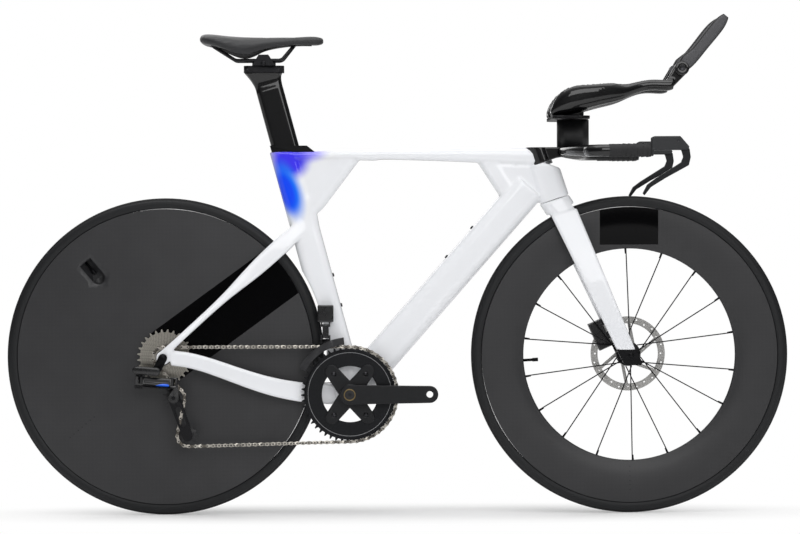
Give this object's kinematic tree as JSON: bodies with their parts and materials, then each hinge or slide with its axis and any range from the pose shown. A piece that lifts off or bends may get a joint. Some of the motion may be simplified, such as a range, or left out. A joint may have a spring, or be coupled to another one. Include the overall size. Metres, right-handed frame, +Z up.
{
  "type": "time trial bicycle",
  "caption": "Time trial bicycle with a deep aero frame, rear disc wheel, deep front wheel, base bar with brake levers and forearm extensions, disc brakes and derailleur gears.",
  "frame": {"origin": "on the ground midway between the wheel axles, in the bicycle's central plane", "axes": "+X forward, +Y to the rider's left, +Z up; the chain is on the -Y side"},
  "size_m": [1.671, 0.4194, 1.0651],
  "materials": {
    "gloss_white": "gloss paint",
    "gloss_black": "clear-coated",
    "black_alloy": "black anodised",
    "dark_alloy": "dark anodised",
    "rail_steel": "dark satin",
    "shell_plastic": "moulded",
    "saddle_skin": "fine-grained synthetic",
    "bearing_steel": "ground",
    "derailleur_black": "satin black",
    "cage_steel": "dark plated",
    "bolt_steel": "satin",
    "chain_nickel": "nickel plated",
    "pulley_plastic": "moulded",
    "bar_tape": "cork-filled wrap",
    "lever_plastic": "moulded",
    "lever_alloy": "black anodised",
    "spacer_black": "satin black",
    "pad_foam": "soft foam",
    "grip_plastic": "satin carbon",
    "tyre_rubber": "slick tread",
    "satin_carbon": "satin carbon",
    "spoke_black": "black coated",
    "rotor_steel": "ground",
    "cassette_nickel": "nickel plated",
    "crank_grey": "satin anodised",
    "ring_alloy": "anodised"
  },
  "bodies": {
    "frame": {"frame": "gloss_white", "rear_stays": "gloss_white", "seat_clamp_cover": "gloss_black", "headset_bearings": "bearing_steel", "bottom_bracket_cups": "black_alloy", "rear_thru_axle": "black_alloy", "derailleur_hanger": "black_alloy", "front_derailleur_body": "derailleur_black", "rear_caliper": "derailleur_black", "bottle_cage_bolts": "bolt_steel", "seatpost": "gloss_black", "saddle_clamp": "dark_alloy", "saddle_rails": "rail_steel", "saddle_shell": "shell_plastic", "saddle_cover": "saddle_skin", "chain": "chain_nickel", "rear_derailleur_mount": "derailleur_black"},
    "steerer": {"fork": "gloss_white", "fork_tips": "black_alloy", "front_thru_axle": "black_alloy", "front_caliper": "derailleur_black", "stem": "gloss_black", "base_bar": "gloss_black", "bar_tape": "bar_tape", "lever_bodies": "lever_plastic", "riser_spacers": "spacer_black", "bridge_plate": "black_alloy", "arm_rests": "gloss_black", "arm_pads": "pad_foam"},
    "lever_right": {"brake_lever_right": "lever_alloy"},
    "lever_left": {"brake_lever_left": "lever_alloy"},
    "handle_right": {"grip_right": "grip_plastic"},
    "handle_left": {"grip_left": "grip_plastic"},
    "front_wheel": {"front_tyre": "tyre_rubber", "front_rim": "satin_carbon", "front_hub": "black_alloy", "front_spokes": "spoke_black", "front_valve": "black_alloy", "front_rotor": "rotor_steel"},
    "rear_wheel": {"rear_tyre": "tyre_rubber", "rear_disc": "satin_carbon", "rear_hub": "black_alloy", "rear_valve": "black_alloy", "rear_rotor": "rotor_steel"},
    "crankset": {"right_crank": "crank_grey", "crank_spindle": "bearing_steel", "left_crank": "crank_grey", "large_chainring": "crank_grey", "small_chainring": "ring_alloy", "chainring_bolts": "bolt_steel"},
    "cassette": {"cassette_sprockets": "cassette_nickel", "freehub_body": "black_alloy"},
    "shift_link_outer": {"rear_derailleur_outer_link": "derailleur_black"},
    "shift_link_inner": {"rear_derailleur_inner_link": "derailleur_black"},
    "shift_knuckle": {"rear_derailleur_knuckle": "derailleur_black"},
    "shift_cage": {"rear_derailleur_cage": "black_alloy"},
    "pulley_guide": {"guide_pulley": "pulley_plastic"},
    "pulley_tension": {"tension_pulley": "pulley_plastic"},
    "ring_link": {"front_derailleur_link": "black_alloy"},
    "ring_cage": {"front_derailleur_cage": "cage_steel"}
  },
  "joints": [
    {"name": "steering", "type": "hinge", "parent": "frame", "child": "steerer", "pos_m": [0.33901, 0, 0.67161], "axis": [-0.309, 0, 0.9511], "range_deg": [-40, 40]},
    {"name": "front_wheel_spin", "type": "hinge", "parent": "steerer", "child": "front_wheel", "pos_m": [0.4965, 0, 0.339], "axis": [0, 1, 0], "continuous": true},
    {"name": "rear_wheel_spin", "type": "hinge", "parent": "frame", "child": "rear_wheel", "pos_m": [-0.4965, 0, 0.339], "axis": [0, 1, 0], "continuous": true},
    {"name": "crank_spin", "type": "hinge", "parent": "frame", "child": "crankset", "pos_m": [-0.10162, 0, 0.2585], "axis": [0, 1, 0], "continuous": true, "deforming": ["chain"]},
    {"name": "cassette_spin", "type": "hinge", "parent": "frame", "child": "cassette", "pos_m": [-0.4965, 0, 0.339], "axis": [0, 1, 0], "continuous": true, "deforming": ["chain"]},
    {"name": "rear_shift", "type": "hinge", "parent": "frame", "child": "shift_link_outer", "pos_m": [-0.54152, -0.09895, 0.29187], "axis": [0.0094, 0.4217, 0.9067], "range_deg": [0, 40], "deforming": ["chain"]},
    {"name": "rear_shift_inner", "type": "hinge", "parent": "frame", "child": "shift_link_inner", "pos_m": [-0.54373, -0.08732, 0.28649], "axis": [0.0094, 0.4217, 0.9067], "range_deg": [0, 40]},
    {"name": "rear_shift_knuckle", "type": "hinge", "parent": "shift_link_outer", "child": "shift_knuckle", "pos_m": [-0.47648, -0.08905, 0.28659], "axis": [0.0094, 0.4217, 0.9067], "range_deg": [-40, 0], "deforming": ["chain"]},
    {"name": "cage_swing", "type": "hinge", "parent": "shift_knuckle", "child": "shift_cage", "pos_m": [-0.4745, -0.0635, 0.254], "axis": [0, 1, 0], "range_deg": [-20, 20], "stiffness_Nm_per_rad": 1.5, "deforming": ["chain"]},
    {"name": "guide_pulley_spin", "type": "hinge", "parent": "shift_cage", "child": "pulley_guide", "pos_m": [-0.4745, -0.0635, 0.254], "axis": [0, 1, 0], "continuous": true, "deforming": ["chain"]},
    {"name": "tension_pulley_spin", "type": "hinge", "parent": "shift_cage", "child": "pulley_tension", "pos_m": [-0.4462, -0.0635, 0.17279], "axis": [0, 1, 0], "continuous": true, "deforming": ["chain"]},
    {"name": "front_shift", "type": "hinge", "parent": "frame", "child": "ring_link", "pos_m": [-0.15262, -0.046, 0.4055], "axis": [1, 0, 0], "range_deg": [0, 18], "deforming": ["chain"]},
    {"name": "front_shift_cage", "type": "hinge", "parent": "ring_link", "child": "ring_cage", "pos_m": [-0.15262, -0.046, 0.3805], "axis": [1, 0, 0], "range_deg": [-18, 0], "deforming": ["chain"]},
    {"name": "brake_lever_right_pull", "type": "hinge", "parent": "steerer", "child": "lever_right", "pos_m": [0.58545, -0.195, 0.79072], "axis": [0, 1, 0], "range_deg": [0, 20], "stiffness_Nm_per_rad": 0.8, "springref_deg": -11.46},
    {"name": "brake_lever_left_pull", "type": "hinge", "parent": "steerer", "child": "lever_left", "pos_m": [0.58545, 0.195, 0.79072], "axis": [0, 1, 0], "range_deg": [0, 20], "stiffness_Nm_per_rad": 0.8, "springref_deg": -11.46},
    {"name": "grip_right_tilt", "type": "hinge", "parent": "steerer", "child": "handle_right", "pos_m": [0.60484, -0.072, 0.9471], "axis": [0, 1, 0], "range_deg": [-15, 15]},
    {"name": "grip_left_tilt", "type": "hinge", "parent": "steerer", "child": "handle_left", "pos_m": [0.60484, 0.072, 0.9471], "axis": [0, 1, 0], "range_deg": [-15, 15]}
  ],
  "couplings": [
    {"joint": "cassette_spin", "follows": "crank_spin", "ratio": 4.5455},
    {"joint": "guide_pulley_spin", "follows": "crank_spin", "ratio": -4.5455},
    {"joint": "tension_pulley_spin", "follows": "crank_spin", "ratio": 4.5455},
    {"joint": "rear_shift_inner", "follows": "rear_shift", "ratio": 1},
    {"joint": "rear_shift_knuckle", "follows": "rear_shift", "ratio": -1},
    {"joint": "front_shift_cage", "follows": "front_shift", "ratio": -1}
  ]
}
